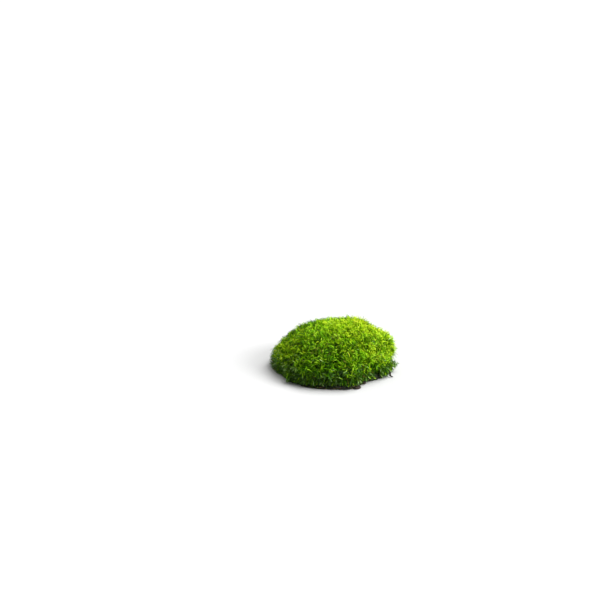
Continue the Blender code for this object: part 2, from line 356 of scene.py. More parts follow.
def direction(azimuth, angle):
    """Unit vectors at an azimuth from +X towards +Y and an angle above the horizontal."""
    level = np.cos(angle)
    height = np.sin(angle) + 0 * azimuth
    return np.stack([np.cos(azimuth) * level, np.sin(azimuth) * level, height], -1)


def waves(points, wavelength, count=16):
    """A random field with about this wavelength and a spread of 1.

    It is the sum of plane waves, cos(2 pi way . point / wavelength + phase), over random ways and
    phases, times the square root of 2 / count.
    """
    ways = unit(rng.normal(size=(count, 3))) * TURN / wavelength
    phases = rng.uniform(0, TURN, count)
    return np.cos(points @ ways.T + phases).sum(-1) * math.sqrt(2 / count)


def relief(points, lumps):
    """The sum of random fields in millimetres, each with its wavelength, height and waves."""
    return sum(height * waves(points, size * MM, count) for size, height, count in lumps)


def bell(points, place, spread):
    """A bell curve of how far points are from a place, exp(-(distance / spread)^2 / 2).

    The place and the spread are in millimetres.
    """
    gaps = ((points - np.array(place) * MM) ** 2).sum(1) / (spread * MM) ** 2
    return np.exp(-gaps / 2)


def spotted(values, points, spots):
    """Values with bell curves added round spots, each with its place, spread and height."""
    for place, spread, height in spots:
        values = values + height * bell(points, place, spread)
    return values


def past(values, start, most=1.0):
    """How far values are past a start, from 0 to most."""
    return np.clip(values - start, 0, most)


def node_places(name):
    """A CAD node's vertices, each once."""
    mesh = frame["nodes"][name].data
    places = np.empty(len(mesh.vertices) * 3, np.float32)
    mesh.vertices.foreach_get("co", places)
    return np.unique(np.round(places.reshape(-1, 3).astype(float), 6), axis=0)


def node_planes(name):
    """The outward normals and the middles of a CAD node's faces."""
    mesh = frame["nodes"][name].data
    normals = np.empty(len(mesh.polygons) * 3, np.float32)
    middles = np.empty(len(mesh.polygons) * 3, np.float32)
    mesh.polygons.foreach_get("normal", normals)
    mesh.polygons.foreach_get("center", middles)
    return normals.reshape(-1, 3), middles.reshape(-1, 3)


class Skin:
    """The cushion's outer surface as a distance from its heart, taken from its CAD tufts."""

    BLUR = 3.2 * MM
    POWER = 24
    BLOCK = 2000
    STEP = 0.06

    def __init__(self, name):
        arms = node_places(name) - HEART
        self.radii = np.linalg.norm(arms, axis=1)
        self.ways = arms / self.radii[:, None]

    def reach(self, ways):
        """The distance to the surface: the power mean of the vertices' distances.

        Each vertex counts by a bell curve of its arc from the way, exp(-(arc / blur)^2 / 2). The
        high power makes tips count and the hollow underside not. The ways are taken in blocks, to
        save memory.
        """
        flat = ways.reshape(-1, 3)
        found = np.empty(len(flat))
        for start in range(0, len(flat), self.BLOCK):
            block = flat[start : start + self.BLOCK]
            gaps = np.arccos(np.clip(block @ self.ways.T, -1, 1)) * self.radii
            weights = np.exp(-((gaps / self.BLUR) ** 2) / 2) + 1e-12
            powers = (weights * (self.radii / USUAL_RADIUS) ** self.POWER).sum(1)
            powers = powers / weights.sum(1)
            found[start : start + self.BLOCK] = USUAL_RADIUS * powers ** (1 / self.POWER)
        return found.reshape(ways.shape[:-1])

    def place(self, ways, depth=0.0):
        """The surface's points, or those at a depth below it, measured towards the heart."""
        return HEART + ways * (self.reach(ways) - depth)[..., None]

    def normal(self, ways):
        """The outward normal, from the surface's points a small step to two sides."""
        side = unit(np.cross(ways, UP + [0.01, 0.02, 0.0]))
        upward = np.cross(side, ways)
        here = self.place(ways)
        rise = self.place(unit(ways + self.STEP * upward)) - here
        run = self.place(unit(ways + self.STEP * side)) - here
        return unit(np.cross(rise, run))


class Wall:
    """The mat's ragged side as a distance from its middle, taken from its CAD faces."""

    BLUR = (2.0 * MM, 0.7 * MM)
    INSIDE = 0.030

    def __init__(self, name):
        places = node_places(name)
        self.azimuth = np.arctan2(places[:, 1], places[:, 0])
        self.distance = np.hypot(places[:, 0], places[:, 1])
        self.height = places[:, 2]

    def reach(self, azimuth, height):
        """The mean of the vertices' distances, each weighted by a bell curve of how near it is."""
        shape = np.broadcast(azimuth, height).shape
        azimuth, height = (np.broadcast_to(v, shape).ravel() for v in (azimuth, height))
        turn = (azimuth[:, None] - self.azimuth + math.pi) % TURN - math.pi
        steps = (turn * self.distance / self.BLUR[0]) ** 2
        steps = steps + ((height[:, None] - self.height) / self.BLUR[1]) ** 2
        weights = np.exp(-steps / 2) * (self.distance > self.INSIDE) + 1e-30
        return ((weights * self.distance).sum(1) / weights.sum(1)).reshape(shape)


def set_mesh(name, places, loops, starts, uv=None):
    """A mesh object from whole arrays: corner vertices face after face, and each face's start."""
    mesh = bpy.data.meshes.new(name)
    mesh.vertices.add(len(places))
    mesh.vertices.foreach_set("co", places.astype(np.float32).ravel())
    mesh.loops.add(len(loops))
    mesh.loops.foreach_set("vertex_index", loops.astype(np.int32))
    mesh.polygons.add(len(starts))
    mesh.polygons.foreach_set("loop_start", starts.astype(np.int32))
    mesh.update(calc_edges=True)
    if uv is not None:
        layer = mesh.uv_layers.new(name="OFBake")
        layer.uv.foreach_set("vector", uv[loops].astype(np.float32).ravel())
    mesh.shade_smooth()
    piece = bpy.data.objects.new(name, mesh)
    bpy.context.scene.collection.objects.link(piece)
    return piece


def ring_body(name, places):
    """A closed body from rings of points, each ring closed, with a fan of triangles at both ends."""
    rings, around = places.shape[:2]
    index = np.arange(rings * around).reshape(rings, around)
    after = np.roll(index, -1, 1)
    quads = np.stack([index[:-1], after[:-1], after[1:], index[1:]], -1).reshape(-1, 4)
    ends = [np.full(around, rings * around), np.full(around, rings * around + 1)]
    first = np.stack([after[0], index[0], ends[0]], -1)
    last = np.stack([index[-1], after[-1], ends[1]], -1)
    loops = np.concatenate([quads.ravel(), first.ravel(), last.ravel()])
    fans = quads.size + np.arange(2 * around) * 3
    starts = np.concatenate([np.arange(len(quads)) * 4, fans])
    poles = np.stack([places[0].mean(0), places[-1].mean(0)])
    return set_mesh(name, np.concatenate([places.reshape(-1, 3), poles]), loops, starts)


def arcs(leaves):
    """The middle lines of leaves as arcs of a circle, and their headings along them.

    A leaf sets out from its root along way, and its heading turns evenly from way towards aside by
    the angle turn: with s from 0 at the root to 1 at the tip, its line is
    root + length (way sin(turn s) + aside (1 - cos(turn s))) / turn. The part of bend that is
    square to way gives both the direction aside and, by its length, the angle.
    """
    s = LEAF_STATIONS[None, :, None]
    way = unit(leaves["way"])[:, None, :]
    bend = leaves["bend"][:, None, :]
    bend = bend - way * along(bend, way)
    turn = np.clip(np.linalg.norm(bend, axis=-1, keepdims=True), LEAST_TURN, MOST_TURN)
    aside = unit(bend)
    arc = (way * np.sin(turn * s) + aside * (1 - np.cos(turn * s))) / turn
    line = leaves["root"][:, None, :] + leaves["length"][:, None, None] * arc
    return line, way * np.cos(turn * s) + aside * np.sin(turn * s)


def ribbons(name, leaves):
    """Leaves as ribbons of quads with a pointed tip.

    A leaf's edges stand off from its middle line to both sides by half its width times the
    profile, along side, which is kept square to the line and turned round it by twist s.
    """
    line, heading = arcs(leaves)
    side = leaves["side"][:, None, :]
    level = unit(side - heading * along(side, heading))
    turn = leaves["twist"][:, None, None] * LEAF_STATIONS[None, :, None]
    level = level * np.cos(turn) + np.cross(heading, level) * np.sin(turn)
    half = leaves["width"][:, None, None] / 2 * LEAF_WIDTHS[None, :, None]
    edges = np.stack([line - level * half, line + level * half], 2)
    count = len(line)
    places = np.concatenate([edges[:, :-1].reshape(count, -1, 3), line[:, -1:]], 1)
    places[..., 2] = np.maximum(places[..., 2], GROUND_CLEARANCE)

    quads = np.arange(len(LEAF_STATIONS) - 2)
    last = 2 * len(quads)
    corners = (2 * quads[:, None] + [0, 1, 3, 2]).ravel()
    corners = np.concatenate([corners, [last, last + 1, last + 2]])
    number = np.arange(count)[:, None]
    loops = (number * (last + 3) + corners).ravel()
    starts = (number * len(corners) + 4 * np.arange(len(quads) + 1)).ravel()

    column = np.clip(leaves["tint"], 0, 1) * (1 - 2 * LEAF_COLUMN) + LEAF_COLUMN / 2
    across = np.tile([0.0, LEAF_COLUMN], len(LEAF_STATIONS) - 1)
    across = np.concatenate([across, [LEAF_COLUMN / 2]])
    up = np.concatenate([np.repeat(LEAF_STATIONS[:-1], 2), [1.0]])
    up = up * (1 - 2 * LEAF_EDGE) + LEAF_EDGE
    rows = (leaves["kind"][:, None] + up[None, :]) / LEAF_KINDS
    uv = np.stack(np.broadcast_arrays(column[:, None] + across[None, :], rows), -1)
    return set_mesh(name, places.reshape(-1, 3), loops, starts, uv.reshape(-1, 2))


def shortened(leaves):
    """The same leaves, with those made shorter that leave the CAD box or stand too far out.

    How far a leaf stands out is measured along its shoot's axis, from the shoot's tip. The ground
    doesn't shorten a leaf.
    """
    low, high = (np.array(corner) for corner in CAD_BOX)
    margin = (high - low) * BOX_MARGIN
    low = low - margin
    low[2] = -1.0
    for _ in range(SHORTENING_ROUNDS):
        line = arcs(leaves)[0]
        outside = ((line < low) | (line > high + margin)).any((1, 2))
        proud = along(line - leaves["crest"][:, None, :], leaves["axis"][:, None, :])
        long = outside | (proud.max((1, 2)) > MOST_PROUD)
        leaves["length"] = np.where(long, leaves["length"] * SHORTENING, leaves["length"])
    return leaves


def leaf_looks(shoots, old):
    """The tint, the width and the kind of each leaf, for its shoot and for how old it is.

    Old is 0 for a shoot's youngest leaf and 1 for its oldest. Contrast brings the tints nearer
    to each other. A shoot's leaves share most of the draw for their kind, so that most of them
    are of one kind: greyer and bluer for the lowest draws, which is painted shade, then green,
    then sunny, and pale for the highest, which is painted rim light.
    """
    shoot = {key: values[:, None] for key, values in shoots.items()}
    chance = shoot["fresh_and_lit"] * (FRESH_CHANCE[0] + FRESH_CHANCE[1] * old)
    fresh_and_lit = rng.random(old.shape) < chance
    tint = np.where(fresh_and_lit, FRESH_TINT[0] + FRESH_TINT[1] * old, OLD_TINT[0] + OLD_TINT[1] * old)
    tint = tint + shoot["tint"] + rng.normal(0, TINT_SCATTER, old.shape)
    tint = OLD_TINT[0] + (tint - OLD_TINT[0]) * shoot["contrast"]
    chance = shoot["dead"] * (DEAD_CHANCE[0] + DEAD_CHANCE[1] * old)
    dead = rng.random(old.shape) < chance
    tint = np.where(dead, rng.uniform(*DEAD_TINTS, old.shape), np.maximum(tint, LIVING_TINT))
    width = rng.uniform(*LEAF_WIDTH, old.shape) + FRESH_WIDTH * fresh_and_lit
    draw = SHARED_DRAW * rng.random((len(old), 1)) + SINGLE_DRAW * rng.random(old.shape)
    # The lowest draws give the greyer, bluer kind of leaf, which is painted shade
    draw = draw - shoot["painted_shade"]
    kind = np.where(draw < shoot["green"], GREEN, SUNNY)
    kind = np.where(draw < 0, PAINTED_SHADE, kind)
    kind = np.where(draw > 1 - shoot["pale"], PALE, kind)
    return tint, width, kind


def grow_leaves(shoots):
    """The leaves of many shoots, as arrays with one row for each leaf.

    A shoot's leaves follow each other at the golden angle. The youngest stand nearly upright
    round its tip, and the older ones lower down are longer, spread wider, bend back more and
    droop more. All of a shoot's leaves sweep over to one side.
    """
    count, each = len(shoots["tip"]), LEAVES_PER_SHOOT
    old = np.broadcast_to(np.arange(each) / (each - 1), (count, each))
    age = old[..., None]
    axis = shoots["axis"][:, None, :]
    lean = shoots["lean"][:, None, :]
    size = shoots["size"][:, None]
    first = unit(np.cross(axis, lean))
    second = np.cross(axis, first)
    turn = np.arange(each)[None, :, None] * GOLDEN_ANGLE + rng.uniform(0, TURN, (count, 1, 1))
    turn = turn + rng.normal(0, PLACE_SCATTER, age.shape)
    out = first * np.cos(turn) + second * np.sin(turn)
    spread = np.radians(SPREAD[0] + SPREAD[1] * age**0.8)
    spread = spread + rng.normal(0, SPREAD_SCATTER, age.shape)
    recurve = RECURVE[0] + RECURVE[1] * age + rng.normal(0, RECURVE_SCATTER, age.shape)
    bend = recurve * (out * np.cos(spread) - axis * np.sin(spread))
    sweep = shoots["sweep"][:, None, None] + rng.normal(0, SWEEP_SCATTER, age.shape)
    droop = (DROOP[0] + DROOP[1] * age) * shoots["droop"][:, None, None]
    youngest = shoots["tip"][:, None, :] - axis * (RISE * LENGTH[0] * size[..., None])
    length = (LENGTH[0] + LENGTH[1] * old**0.6) * rng.normal(1, LENGTH_SCATTER, old.shape)
    tint, width, kind = leaf_looks(shoots, old)
    leaves = {
        "crest": shoots["tip"][:, None, :],
        "axis": axis,
        "root": youngest - axis * STEM * age**0.9,
        "way": axis * np.cos(spread) + out * np.sin(spread),
        "bend": bend + lean * sweep - UP * droop,
        "side": np.cross(axis, out),
    }
    shape = (count, each, 3)
    leaves = {key: np.broadcast_to(v, shape).reshape(-1, 3) for key, v in leaves.items()}
    leaves["twist"] = rng.normal(0, TWIST_SCATTER, count * each)
    leaves["length"] = (length * size).ravel()
    leaves["width"] = width.ravel()
    leaves["tint"] = tint.ravel()
    leaves["kind"] = kind.ravel()
    return leaves


def even_ways(skin, count):
    """Directions from the heart that cover the cushion evenly.

    They follow a golden-angle spiral down from the crown in equal steps of area, which is summed
    along the cushion's mean section, and each is shaken by a quarter of their spacing.
    """
    angles = np.linspace(math.pi / 2, LOWEST_SHOOT, SECTION_STEPS)
    around = np.arange(0, TURN, TURN / SECTIONS)
    reach = skin.reach(direction(around[None, :], angles[:, None])).mean(1)
    radius = reach * np.cos(angles)
    height = reach * np.sin(angles)
    strips = np.hypot(np.diff(radius), np.diff(height)) * (radius[1:] + radius[:-1]) / 2
    area = np.concatenate([[0.0], np.cumsum(strips)])
    wanted = (np.arange(count) + 0.5) / count * area[-1]
    spacing = math.sqrt(TURN * area[-1] / count)
    ways = direction(np.arange(count) * GOLDEN_ANGLE, np.interp(wanted, area, angles))
    return unit(ways + rng.normal(0, SHOOT_SHAKE * spacing / USUAL_RADIUS, (count, 3)))


def shoot_looks(tips, height, low, foot, skirt):
    """The tint and the shares of fresh, dead, green, pale and greyer leaves over the cushion.

    Much of this is painted light and shade. Towards the crown, the right flank and the rims,
    where the light falls, the tint and the shares of fresh and pale leaves rise and green ones
    fall. Near the ground and on the skirt the leaves are darker and duller, and near the ground
    more are of the greyer, bluer kind, as painted shade. Height is a shoot's height as a share of
    the cushion's. Low and foot are 0 higher up and 1 near the ground, and skirt is 1 for the
    skirt's shoots. East goes from -1 at the left end to 1 at the right end.
    """
    count = len(tips)
    east = tips[:, 0] / HALF_WIDTH
    # Lighter towards the crown and the right end, where the light falls: painted light
    tint = 0.75 * past(height, 0.8) + 0.01 + 0.03 * east
    tint = tint + 0.22 * past(east, 0.5, 0.5)
    tint = tint + 0.03 * waves(tips, 26 * MM) + rng.normal(0, 0.04, count) + 0.01 * low
    # More fresh leaves where the light falls and fewer near the ground: painted light and shade
    fresh_and_lit = 1.5 + 12 * past(height, 0.82) + 0.3 * east
    fresh_and_lit = FRESH_SHARE * (fresh_and_lit + 1.3 * past(np.abs(east), 0.65)) * (1 - 0.9 * foot)
    fresh_and_lit = fresh_and_lit * np.exp(0.10 * waves(tips, 12 * MM) + rng.normal(0, 0.2, count))
    # Fewer green and so more sunny leaves at the crown and both ends: painted light
    green = 0.82 - 0.40 * past(east, -0.3) - 1.1 * past(-east, 0.3)
    green = green - 1.6 * past(height, 0.7) + 0.15 * waves(tips, 16 * MM)
    brown = np.max([bell(tips, place, BROWN_SPREAD) for place in BROWN_SPOTS], 0)
    # Greyer, bluer leaves near the ground, fewer at the right end: painted shade
    painted_shade = 1.1 * np.clip(1.1 - tips[:, 2] / (20 * MM), 0, 1)
    return {
        "tint": spotted(tint, tips, TONE_AND_LIGHT_PATCHES) - 0.03 * skirt,
        "fresh_and_lit": fresh_and_lit * (1 - 0.2 * skirt),
        "dead": 0.008 + 0.55 * brown + 0.04 * low**2 + 0.05 * skirt,
        "green": spotted(green, tips, EMERALDS),
        # Pale yellow leaves along the lit rim: painted rim light
        "pale": spotted(np.zeros(count), tips, PAINTED_RIM_LIGHT),
        "contrast": 1 - 0.65 * foot,
        "painted_shade": 0.06 + painted_shade * (1 - 0.8 * np.clip((east - 0.3) / 0.3, 0, 1)),
    }


def plant_shoots(skin):
    """The cushion's shoots: where they stand, which way they point, and their leaves' looks.

    They point along the surface's normal and a little upwards, the lowest a little downwards.
    Those of the skirt stand round the rim and hang. Waves, scatter and the swells move all of
    them in or out. Slow waves make neighbours lean the same way.
    """
    ways = even_ways(skin, SHOOTS)
    around = np.arange(SKIRT_SHOOTS) / SKIRT_SHOOTS * TURN
    around = around + rng.normal(0, SKIRT_SHAKE, SKIRT_SHOOTS)
    angles = np.radians(rng.uniform(*SKIRT_ANGLES, SKIRT_SHOOTS))
    ways = np.concatenate([ways, direction(around, angles)])
    count = len(ways)
    skirt = np.arange(count) >= SHOOTS
    tips = skin.place(ways)
    normal = skin.normal(ways)
    height = tips[:, 2] / CUSHION_HEIGHT
    low = np.clip(1 - tips[:, 2] / LOW_HEIGHT, 0, 1)
    foot = np.clip(1.2 - tips[:, 2] / FOOT_HEIGHT, 0, 1)
    outward = OUTWARD_WAVES[1] * waves(tips, OUTWARD_WAVES[0])
    outward = outward + rng.normal(0, OUTWARD_SCATTER, count)
    outward = np.where(skirt, 2.6 + 0.6 * outward, np.minimum(outward - 0.2, 0.8))
    hang = 0.45 * unit(tips * [1, 1, 0]) - UP + rng.normal(0, HANG_SCATTER, (count, 3))
    stand = normal + (0.40 - 0.65 * low)[:, None] * UP + rng.normal(0, AXIS_SCATTER, (count, 3))
    axis = unit(np.where(skirt[:, None], hang, stand))
    tips = tips + np.where(skirt[:, None], axis, normal) * outward[:, None] * MM
    for place, spread, rise in SWELLS:
        tips = tips + normal * (rise * MM * bell(tips, place, spread))[:, None]
    lean = np.stack([waves(tips, LEAN_WAVES[0]) for _ in range(3)], 1) * LEAN_WAVES[1]
    lean = lean + rng.normal(0, LEAN_SCATTER, (count, 3))
    looks = shoot_looks(tips, height, low, foot, skirt)
    return {
        "tip": tips,
        "axis": axis,
        "lean": unit(lean - axis * along(lean, axis)),
        "droop": 0.4 + 1.2 * low + 0.6 * skirt,
        "sweep": rng.uniform(*SWEEP, count),
        "size": rng.normal(*SHOOT_SIZE, count) * (1 - 0.12 * low),
        **looks,
    }


def curtain_shoots():
    """Small shoots that hang over the mat's edge and over the twig's upper part."""
    curtains = []
    for count, first, last, near, far, low, high, fresh_and_lit in CURTAINS:
        azimuth = np.radians(rng.uniform(first, last, count))
        out = direction(azimuth, 0 * azimuth)
        tips = np.array(BASE_MIDDLE) + out * rng.uniform(near, far, count)[:, None] * MM
        axis = unit(0.5 * out - UP + rng.normal(0, 0.15, (count, 3)))
        aside = np.cross(axis, UP) * rng.choice([-1, 1], count)[:, None]
        curtains.append({
            "tip": tips + UP * rng.uniform(low, high, count)[:, None] * MM,
            "axis": axis,
            "lean": unit(aside + rng.normal(0, 0.2, (count, 3))),
            "droop": np.full(count, 1.2),
            "sweep": rng.uniform(0.0, 0.7, count),
            "size": rng.uniform(0.6, 0.8, count),
            "tint": np.full(count, 0.08),
            "fresh_and_lit": np.full(count, fresh_and_lit),
            "dead": np.full(count, 0.03),
            "green": np.full(count, 0.3),
            "pale": np.zeros(count),
            "contrast": np.full(count, 0.8),
            # Many greyer, bluer leaves, as painted shade under the rim
            "painted_shade": np.full(count, 0.4),
        })
    return joined(curtains)


def stray_shoots():
    """The stray shoot that droops out of the right flank: tiny shoots all round its path."""
    points, heading, radius = upright_path(STRAY_AZIMUTH, STRAY_PATH, STRAY_SHOOTS)
    count = STRAY_SHOOTS
    spoke = unit(rng.normal(size=(count, 3)))
    return {
        "tip": points + spoke * radius[:, None],
        "axis": unit(spoke + 0.5 * heading),
        "lean": unit(np.cross(spoke, UP) + rng.normal(0, 0.4, (count, 3))),
        "droop": np.full(count, 1.0),
        "sweep": rng.uniform(0.0, 0.5, count),
        "size": np.full(count, 0.26),
        "tint": np.full(count, 0.46),
        "fresh_and_lit": np.full(count, 0.08),
        "dead": np.zeros(count),
        "green": np.full(count, 0.4),
        "pale": np.zeros(count),
        "contrast": np.ones(count),
        # All of its leaves are of the greyer, bluer kind: painted shade
        "painted_shade": np.ones(count),
    }


def joined(tables):
    """Tables of rows as one table, one after the other."""
    return {key: np.concatenate([table[key] for table in tables]) for key in tables[0]}


def picked(table, choice):
    """The chosen rows of a table."""
    return {key: values[choice] for key, values in table.items()}


def smooth_path(stations, count):
    """A path through stations of (distance, height, radius), rounded at its corners."""
    stations = np.array(stations) * MM
    steps = np.linspace(0, len(stations) - 1, count)
    even = np.stack([np.interp(steps, np.arange(len(stations)), v) for v in stations.T], -1)
    kernel = np.hanning(max(count // len(stations), 3) + 2)
    half = len(kernel) // 2
    padded = np.pad(even, ((half, half), (0, 0)), mode="reflect", reflect_type="odd")
    soft = [np.convolve(v, kernel / kernel.sum(), "valid") for v in padded.T]
    return np.stack(soft, -1)[:count]


def upright_path(azimuth, stations, count):
    """The points, ways and radii along a path in the upright plane at an azimuth."""
    path = smooth_path(stations, count)
    out = direction(np.array(math.radians(azimuth)), np.array(0.0))
    points = np.array(BASE_MIDDLE) + out * path[:, :1] + UP * path[:, 1:2]
    return points, unit(np.gradient(points, axis=0)), path[:, 2]


def srgb(red, green, blue):
    """A colour from 0 to 255 as linear light."""
    values = np.array([red, green, blue]) / 255
    light = np.where(values > 0.04045, ((values + 0.055) / 1.055) ** 2.4, values / 12.92)
    return tuple(light.tolist())


class Value:
    """A socket that gives numbers. Expressions on it add Math nodes."""

    def __init__(self, paint, socket):
        self.paint = paint
        self.socket = socket

    def maths(self, operation, first, second=None):
        """The result of a Math node on one or two numbers."""
        sockets = {0: first} if second is None else {0: first, 1: second}
        return self.paint.node("ShaderNodeMath", {"operation": operation}, sockets)

    def __add__(self, other):
        return self.maths("ADD", self, other)

    def __sub__(self, other):
        return self.maths("SUBTRACT", self, other)

    def __mul__(self, other):
        return self.maths("MULTIPLY", self, other)


class Paint:
    """A material and its nodes."""

    def __init__(self, name):
        self.material = bpy.data.materials.new(name)
        self.material.use_nodes = True
        self.tree = self.material.node_tree
        self.shader = self.tree.nodes["Principled BSDF"]
        self.output = self.tree.nodes["Material Output"]

    def plug(self, socket, value):
        """Link a value to a socket, or set it there."""
        if isinstance(value, Value):
            self.tree.links.new(value.socket, socket)
        else:
            socket.default_value = value

    def node(self, kind, settings=None, sockets=None, output=0):
        """A node with its settings, which are set first, and its sockets' values or links."""
        made = self.tree.nodes.new(kind)
        for name, value in (settings or {}).items():
            if name == "stops":
                self.set_stops(made.color_ramp, value)
            else:
                setattr(made, name, value)
        for name, value in (sockets or {}).items():
            self.plug(made.inputs[name], value)
        return Value(self, made.outputs[output])

    def set_stops(self, ramp, stops):
        """Give a colour ramp its stops of (place, colour from 0 to 255)."""
        while len(ramp.elements) < len(stops):
            ramp.elements.new(1.0)
        for element, (place, colour) in zip(ramp.elements, stops):
            element.position = place
            element.color = (*srgb(*colour), 1.0)

    def ramp(self, value, stops):
        """A colour read off from stops of (place, colour from 0 to 255)."""
        return self.node("ShaderNodeValToRGB", {"stops": stops}, {"Fac": value})

    def mix(self, factor, first, second):
        """A colour between two colours."""
        sockets = {"Factor": factor, 6: first, 7: second}
        return self.node("ShaderNodeMix", {"data_type": "RGBA"}, sockets, 2)

    def noise(self, place, size, detail=3.0, roughness=0.55):
        """Noise from 0 to 1 whose lumps are about this size, in metres."""
        sockets = {"Vector": place, "Scale": 1 / size, "Detail": detail, "Roughness": roughness}
        return self.node("ShaderNodeTexNoise", {}, sockets)

    def bump(self, height, depth, strength):
        """A normal that is tilted by a height field with this depth, in metres."""
        sockets = {"Strength": strength, "Distance": depth, "Height": height}
        return self.node("ShaderNodeBump", {}, sockets)

    def objects(self):
        """The place on the piece in its own frame, in metres."""
        return self.node("ShaderNodeTexCoord", {}, {}, 3)

    def finish(self, **sockets):
        """Set the surface shader's sockets, whose names have spaces for underscores."""
        for name, value in sockets.items():
            self.plug(self.shader.inputs[name.replace("_", " ")], value)
        return self.material


def leaf_material():
    """Thin living leaves, which let light through, and dead ones, which let little through.

    The palette is read off from OFBake: the tint across it, and up it the kind and how far up the
    leaf. A leaf is darker at its base, partly its own colour and partly painted shade of the depth
    among the shoots, and the kinds differ at its tip.
    """
    paint = Paint("moss leaves")
    uv = paint.node("ShaderNodeUVMap", {"uv_map": "OFBake"})
    tint = paint.node("ShaderNodeSeparateXYZ", {}, {0: uv})
    rows = Value(paint, tint.socket.node.outputs[1]) * LEAF_KINDS
    kind = rows.maths("FLOOR", rows)
    tips = [
        paint.ramp(tint, (*DEAD_TIP_STOPS, *zip(LIVING_TIP_PLACES, colours)))
        for colours in LIVING_TIP_COLOURS
    ]
    tip = tips[SUNNY]
    for before, other in enumerate(tips[GREEN:]):
        tip = paint.mix(kind - before, tip, other)
    ends = {0: rows - kind, 1: TIP_COLOUR_BEGINS, 2: TIP_COLOUR_REACHED}
    rise = paint.node("ShaderNodeMapRange", {"interpolation_type": "SMOOTHSTEP"}, ends)
    colour = paint.mix(rise, paint.ramp(tint, BASE_STOPS), tip)
    paint.finish(Base_Color=colour, Roughness=0.48, Specular_IOR_Level=0.05)
    glow = paint.node("ShaderNodeBsdfTranslucent", {}, {"Color": (*srgb(*GLOW), 1.0)})
    ends = {0: tint, 1: DEAD_GLOW[0], 2: LIVING_GLOW[0], 3: DEAD_GLOW[1], 4: LIVING_GLOW[1]}
    share = paint.node("ShaderNodeMapRange", {}, ends)
    surface = Value(paint, paint.shader.outputs[0])
    shown = paint.node("ShaderNodeMixShader", {}, {0: share, 1: surface, 2: glow})
    paint.plug(paint.output.inputs["Surface"], shown)
    return paint.material


def stem_and_shade_material():
    """Dark olive dead stems, seen deep between the shoots, and partly painted shade."""
    paint = Paint("packed stems and painted shade")
    place = paint.objects()
    lumps = paint.noise(place, 2.2 * MM, 3.0, 0.6)
    fine = paint.noise(place, 0.4 * MM, 2.0, 0.6)
    stops = ((0.35, (10, 14, 4)), (0.50, (26, 32, 8)), (0.66, (52, 50, 20)))
    return paint.finish(
        Base_Color=paint.ramp(lumps * 0.5 + fine * 0.5, stops),
        Roughness=0.9,
        Specular_IOR_Level=0.1,
        Normal=paint.bump(fine, 0.5 * MM, 0.7),
    )


def bark_material(name, dark, middle, pale, grain):
    """Weathered bark or wood whose grain is stretched along one axis."""
    paint = Paint(name)
    sockets = {"Vector": paint.objects(), "Scale": grain}
    place = paint.node("ShaderNodeMapping", {"vector_type": "POINT"}, sockets)
    fibre = paint.noise(place, 0.45 * MM, 4.0, 0.6)
    patches = paint.noise(paint.objects(), 1.6 * MM)
    stops = ((0.36, dark), (0.50, middle), (0.66, pale))
    return paint.finish(
        Base_Color=paint.ramp(fibre * 0.65 + patches * 0.35, stops),
        Roughness=fibre * 0.25 + 0.7,
        Normal=paint.bump(fibre, 0.2 * MM, 0.7),
    )


def humus_and_shade_material():
    """Crumbly dark brown humus with paler fibres in it, darkened partly as painted shade."""
    paint = Paint("humus")
    place = paint.objects()
    coarse = paint.noise(place, 3.0 * MM)
    fine = paint.noise(place, 0.5 * MM, 4.0, 0.7)
    stops = ((0.35, (7, 9, 4)), (0.52, (20, 23, 11)), (0.66, (46, 44, 25)))
    return paint.finish(
        Base_Color=paint.ramp(coarse * 0.6 + fine * 0.4, stops),
        Roughness=0.92,
        Normal=paint.bump(fine, 0.4 * MM, 0.6),
    )


def dress(piece, material):
    """Give a piece its finish and let it ride on the one body."""
    piece.data.materials.clear()
    piece.data.materials.append(material)
    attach(piece, "root")


def make_moss(skin, material):
    """The leafy shoots in five pieces: the crown, and the flanks on four sides.

    The crown is the highest fifth of the shoots. The sides have equal numbers of the others, and
    the first one begins at the front left.
    """
    shoots = joined([plant_shoots(skin), curtain_shoots(), stray_shoots()])
    tip = shoots["tip"]
    crown = tip[:, 2] > np.quantile(tip[:, 2], CROWN_BEGINS)
    turn = (np.arctan2(tip[:, 1], tip[:, 0]) - FRONT_LEFT) % TURN
    side = np.searchsorted(np.quantile(turn[~crown], (0.25, 0.5, 0.75)), turn)
    groups = {"moss_crown": crown}
    for number, name in enumerate(("moss_front", "moss_right", "moss_back", "moss_left")):
        groups[name] = ~crown & (side == number)
    for name, chosen in groups.items():
        piece = ribbons(name, shortened(grow_leaves(picked(shoots, chosen))))
        dress(piece, material)
        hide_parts("moss_cushion")


def make_stems(skin):
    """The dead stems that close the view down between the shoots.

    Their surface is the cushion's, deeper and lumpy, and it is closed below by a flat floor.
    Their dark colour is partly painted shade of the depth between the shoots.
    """
    angles = np.radians(STEM_ANGLES)
    azimuth = np.arange(0, TURN, TURN / STEM_AROUND)
    ways = direction(azimuth[None, :], angles[:, None])
    places = skin.place(ways, STEM_DEPTH)
    places = places + ways * (relief(places, STEM_LUMPS) * MM)[..., None]
    floor = places[:1] * [STEM_FLOOR, STEM_FLOOR, 1.0]
    middle = floor * [STEM_MIDDLE, STEM_MIDDLE, 1.0]
    piece = ring_body("packed_stems_and_shade", np.concatenate([middle, floor, places]))
    dress(piece, stem_and_shade_material())


